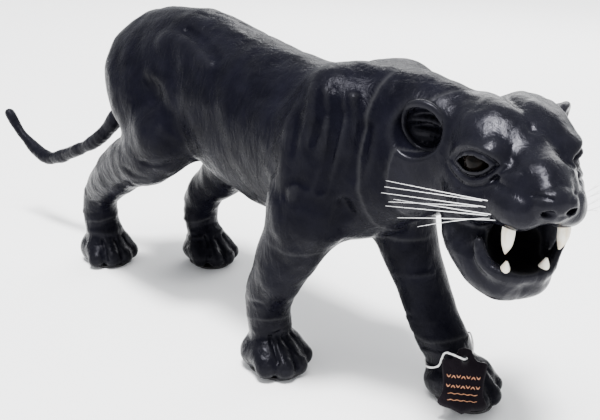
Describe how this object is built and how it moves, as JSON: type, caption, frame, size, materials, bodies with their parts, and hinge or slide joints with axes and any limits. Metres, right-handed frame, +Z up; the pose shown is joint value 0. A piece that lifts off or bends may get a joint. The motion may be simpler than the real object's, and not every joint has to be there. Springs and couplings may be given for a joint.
{
  "type": "leather panther figurine",
  "caption": "Walking panther figurine in glued black leather over papier-mache cores and a wire armature, with an open mouth, glass eyes, nylon whiskers and a hang tag.",
  "frame": {"origin": "bottom centre of the bounding box, on the floor under the belly", "axes": "+X towards the nose, along the spine; +Y to the animal's left; +Z up"},
  "size_m": [0.6072, 0.1334, 0.2309],
  "materials": {
    "armature_wire": "satin",
    "papier_mache": "matte",
    "tail_wrap": "matte",
    "body_leather": "satin",
    "head_leather": "gloss",
    "paw_leather": "gloss",
    "mouth_leather": "satin",
    "sole_leather": "matte",
    "eye_glass": "gloss",
    "ivory_resin": "satin",
    "whisker_nylon": "satin",
    "tag_leather": "satin",
    "white_string": "matte"
  },
  "bodies": {
    "figure": {"spine_wire": "armature_wire", "front_leg_wire": "armature_wire", "rear_leg_wire": "armature_wire", "tail_wire": "armature_wire", "shoulder_tie": "armature_wire", "hip_tie": "armature_wire", "body_core": "papier_mache", "head_core": "papier_mache", "jaw_core": "papier_mache", "tail_wrap": "tail_wrap", "front_right_leg_core": "papier_mache", "front_left_leg_core": "papier_mache", "rear_right_leg_core": "papier_mache", "rear_left_leg_core": "papier_mache", "body_cover": "body_leather", "neck_cover": "body_leather", "head_cover": "head_leather", "jaw_cover": "head_leather", "mouth_lining": "mouth_leather", "tail_cover": "body_leather", "front_right_leg_sleeve": "body_leather", "front_left_leg_sleeve": "body_leather", "rear_right_leg_sleeve": "body_leather", "rear_left_leg_sleeve": "body_leather", "front_right_paw_cover": "paw_leather", "front_left_paw_cover": "paw_leather", "rear_right_paw_cover": "paw_leather", "rear_left_paw_cover": "paw_leather", "front_right_sole": "sole_leather", "front_left_sole": "sole_leather", "rear_right_sole": "sole_leather", "rear_left_sole": "sole_leather", "right_ear": "head_leather", "left_ear": "head_leather", "right_eye": "eye_glass", "left_eye": "eye_glass", "right_eyelids": "head_leather", "left_eyelids": "head_leather", "nose_pad": "head_leather", "upper_right_fang": "ivory_resin", "upper_left_fang": "ivory_resin", "lower_right_fang": "ivory_resin", "lower_left_fang": "ivory_resin", "right_whiskers": "whisker_nylon", "left_whiskers": "whisker_nylon", "tag_string": "white_string"},
    "tag": {"hang_tag": "tag_leather"}
  },
  "joints": [
    {"name": "tag_swing", "type": "hinge", "parent": "figure", "child": "tag", "pos_m": [0.22107, 0.01192, 0.03995], "axis": [-0.788, -0.6157, 0], "range_deg": [0, 32]}
  ]
}
